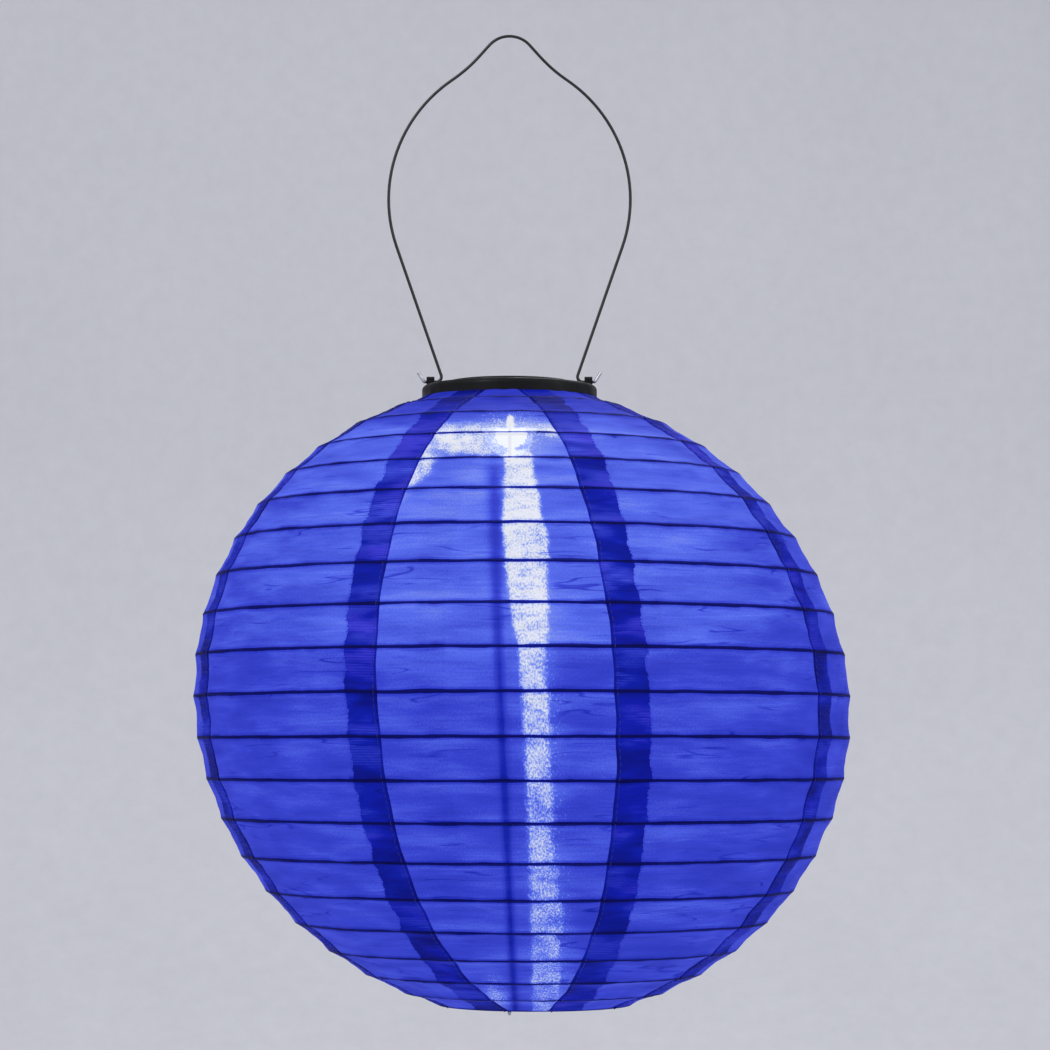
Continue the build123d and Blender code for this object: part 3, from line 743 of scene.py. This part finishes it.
def bail_finish():
    """Black-lacquered wire, bare bright steel at the two cut ends."""
    made = Material("bail_wire")
    place = made.place()
    split = made.node("ShaderNodeSeparateXYZ", Vector=place)
    scratch = made.noise(place, 900, 3.0, 0.6)
    worn = made.noise(place, 120, 3.0)
    reach = made.math("ABSOLUTE", split.outputs["X"])
    level = split.outputs["Z"]
    low, high = TIP_LEVELS
    tip = made.product(made.span(reach, TIP_START - 0.0005, TIP_START + 0.0005),
                       made.span(level, low - 0.0005, low + 0.0005),
                       made.span(level, high + 0.001, high - 0.001))
    lacquer = made.ramp(worn, [(0.35, linear(10, 10, 12)), (0.7, linear(26, 26, 30))])
    steel = made.ramp(scratch, [(0.3, linear(150, 152, 158)), (0.7, linear(214, 216, 220))])
    made.surface(Base_Color=made.blend(tip, lacquer, steel), Metallic=tip,
                 Roughness=made.span(scratch, 0.3, 0.7, 0.28, 0.42),
                 Normal=made.bump(scratch, 0.2, 0.00005))
    return made.material


FINGER_PITCH = 0.0012
BAR_PITCH = 0.0085


def cell_finish():
    """Dark silicon with its fine silver fingers and two wider bus bars."""
    made = Material("cell_silicon")
    place = made.place()
    split = made.node("ShaderNodeSeparateXYZ", Vector=place)
    fingers = made.math("FRACT", made.product(split.outputs["X"], 1 / FINGER_PITCH))
    fingers = made.span(fingers, 0.1, 0.14, 1.0, 0.0)
    bars = made.math("FRACT", made.product(split.outputs["Y"], 1 / BAR_PITCH))
    bars = made.span(bars, 0.09, 0.11, 1.0, 0.0)
    crystal = made.noise(place, 260, 2.0)
    silicon = made.ramp(crystal, [(0.3, linear(12, 14, 34)), (0.7, linear(24, 30, 66))])
    lines = made.math("MAXIMUM", made.product(fingers, 0.35), made.product(bars, 0.8))
    made.surface(Base_Color=made.blend(lines, silicon, linear(170, 172, 176)),
                 Roughness=made.span(crystal, 0.3, 0.7, 0.22, 0.34))
    return made.material


def glaze_finish():
    """The panel's clear cover, a little dusty."""
    made = Material("glaze")
    dust = made.noise(made.place(), 500, 4.0, 0.65)
    shader = made.surface(Base_Color=made.ramp(dust, [(0.4, linear(30, 34, 58)),
                                                      (0.8, linear(62, 66, 88))]),
                          Roughness=made.span(dust, 0.35, 0.7, 0.06, 0.3))
    shader.inputs["Coat Weight"].default_value = 0.8
    shader.inputs["Coat Roughness"].default_value = 0.06
    shader.inputs["Alpha"].default_value = 0.25
    return made.material


def wire_finish(name, dark, light):
    return finished(name, dark, light, 0.34, 0.0011, 0.00004, metallic=0.85)


FINISHES = {
    "bail_wire": bail_finish(),
    "hoop_wire": wire_finish("hoop_wire", linear(60, 62, 70), linear(128, 130, 138)),
    "spreader_wire": wire_finish("spreader_wire", linear(120, 122, 128), linear(190, 192, 198)),
    "black_plastic": finished("black_plastic", linear(4, 4, 5), linear(9, 9, 11), 0.5,
                              0.0009, 0.00006, specular=0.18),
    "switch_plastic": finished("switch_plastic", linear(14, 14, 15), linear(34, 34, 36), 0.4,
                               0.0006, 0.00005),
    "switch_case": wire_finish("switch_case", linear(150, 150, 148), linear(200, 200, 198)),
    "seal_rubber": finished("seal_rubber", linear(24, 24, 24), linear(44, 43, 42), 0.8,
                            0.0007, 0.00008),
    "screw_steel": wire_finish("screw_steel", linear(120, 120, 122), linear(182, 182, 184)),
    "board_laminate": finished("board_laminate", linear(8, 58, 34), linear(22, 88, 54), 0.42,
                               0.0008, 0.00004),
    "cell_silicon": cell_finish(),
    "glaze": glaze_finish(),
    "lead_sleeve": finished("lead_sleeve", linear(150, 18, 16), linear(196, 36, 30), 0.5,
                            0.0006, 0.00003),
    "chip_plastic": finished("chip_plastic", linear(18, 18, 19), linear(40, 40, 42), 0.55,
                             0.0005, 0.00004),
    "battery_steel": wire_finish("battery_steel", linear(150, 150, 150), linear(210, 210, 208)),
    "battery_wrap": finished("battery_wrap", linear(16, 90, 58), linear(30, 122, 82), 0.36,
                             0.0012, 0.00003),
    "contact_metal": wire_finish("contact_metal", linear(168, 150, 110), linear(214, 198, 150)),
    "led_epoxy": glowing("led_epoxy", (0.75, 0.83, 1.0, 1.0), 60.0),
    "led_pins": wire_finish("led_pins", linear(160, 160, 160), linear(214, 214, 214)),
    "dome_plastic": glowing("dome_plastic", (0.6, 0.72, 1.0, 1.0), 3.0),
}
SLOT_NODES = {
    "bail_wire": ["bail"],
    "hoop_wire": ["top_hoop", "foot_ring"] + [f"hoop_{i + 1:02d}" for i in range(len(hoops))],
    "spreader_wire": ["spreader"],
    "black_plastic": ["collar_ring", "hem_clip_ring", "light_housing", "unit_cover"],
    "switch_plastic": ["switch_knob"],
    "switch_case": ["switch_body"],
    "seal_rubber": ["cover_seal"],
    "screw_steel": ["cover_screws"],
    "board_laminate": ["panel_board", "circuit_board"],
    "cell_silicon": ["solar_cells"],
    "glaze": ["panel_glaze"],
    "lead_sleeve": ["panel_leads"],
    "chip_plastic": ["board_parts"],
    "battery_steel": ["battery_cell"],
    "battery_wrap": ["battery_sleeve"],
    "contact_metal": ["contact_plus", "contact_minus"],
    "led_epoxy": ["led"],
    "led_pins": ["led_leads"],
    "dome_plastic": ["led_dome"],
}
for finish, names in SLOT_NODES.items():
    for name in names:
        for holder in nodes[name].material_slots:
            holder.material = FINISHES[finish]

# ---------------------------------------------------------------- floor, backdrop and lights
FLOOR_Z = cad_box[0].z - 0.36      # low enough for the spreader to be drawn out above it
SWEEP_BACK = 1.6
SWEEP_RADIUS = 0.9
SWEEP_HALF_WIDTH = 9.0


SWEEP_HEIGHT = 6.0
SWEEP_STEPS = 24


def backdrop():
    """A floor that runs up into a wall in one smooth sweep."""
    line = [(-SWEEP_HALF_WIDTH, 0.0), (SWEEP_BACK, 0.0)]
    for step in range(1, SWEEP_STEPS + 1):
        turn = pi / 2 * step / SWEEP_STEPS
        line.append((SWEEP_BACK + SWEEP_RADIUS * sin(turn), SWEEP_RADIUS * (1 - cos(turn))))
    line.append((SWEEP_BACK + SWEEP_RADIUS, SWEEP_HEIGHT))
    mesh = bpy.data.meshes.new("backdrop")
    points = [(x, y, FLOOR_Z + z) for y, z in line for x in (-SWEEP_HALF_WIDTH, SWEEP_HALF_WIDTH)]
    mesh.from_pydata(points, [], [(2 * i, 2 * i + 1, 2 * i + 3, 2 * i + 2)
                                  for i in range(len(line) - 1)])
    mesh.shade_smooth()
    made = bpy.data.objects.new("backdrop", mesh)
    bpy.context.scene.collection.objects.link(made)
    mesh.materials.append(finished("backdrop_paper", linear(206, 206, 210),
                                   linear(214, 214, 218), 0.9, 0.02, 0.0001))


LIT_POINT = Vector((0.0, 0.0, -0.25))


def area_light(name, place, size, power):
    """A square soft light that points at the lantern."""
    data = bpy.data.lights.new(name, "AREA")
    data.size = size
    data.energy = power
    made = bpy.data.objects.new(name, data)
    made.location = place
    made.rotation_euler = (LIT_POINT - Vector(place)).to_track_quat("-Z", "Y").to_euler()
    bpy.context.scene.collection.objects.link(made)


backdrop()
area_light("key_light", (-1.3, -1.6, 1.3), 1.4, 24.0)
area_light("fill_light", (1.8, -1.2, 0.7), 1.8, 14.0)
area_light("rim_light", (0.4, 1.3, 1.5), 1.2, 10.0)
world = bpy.data.worlds.new("studio")
world.use_nodes = True
world.node_tree.nodes["Background"].inputs["Color"].default_value = (0.9, 0.92, 1.0, 1.0)
world.node_tree.nodes["Background"].inputs["Strength"].default_value = 0.7
bpy.context.scene.world = world
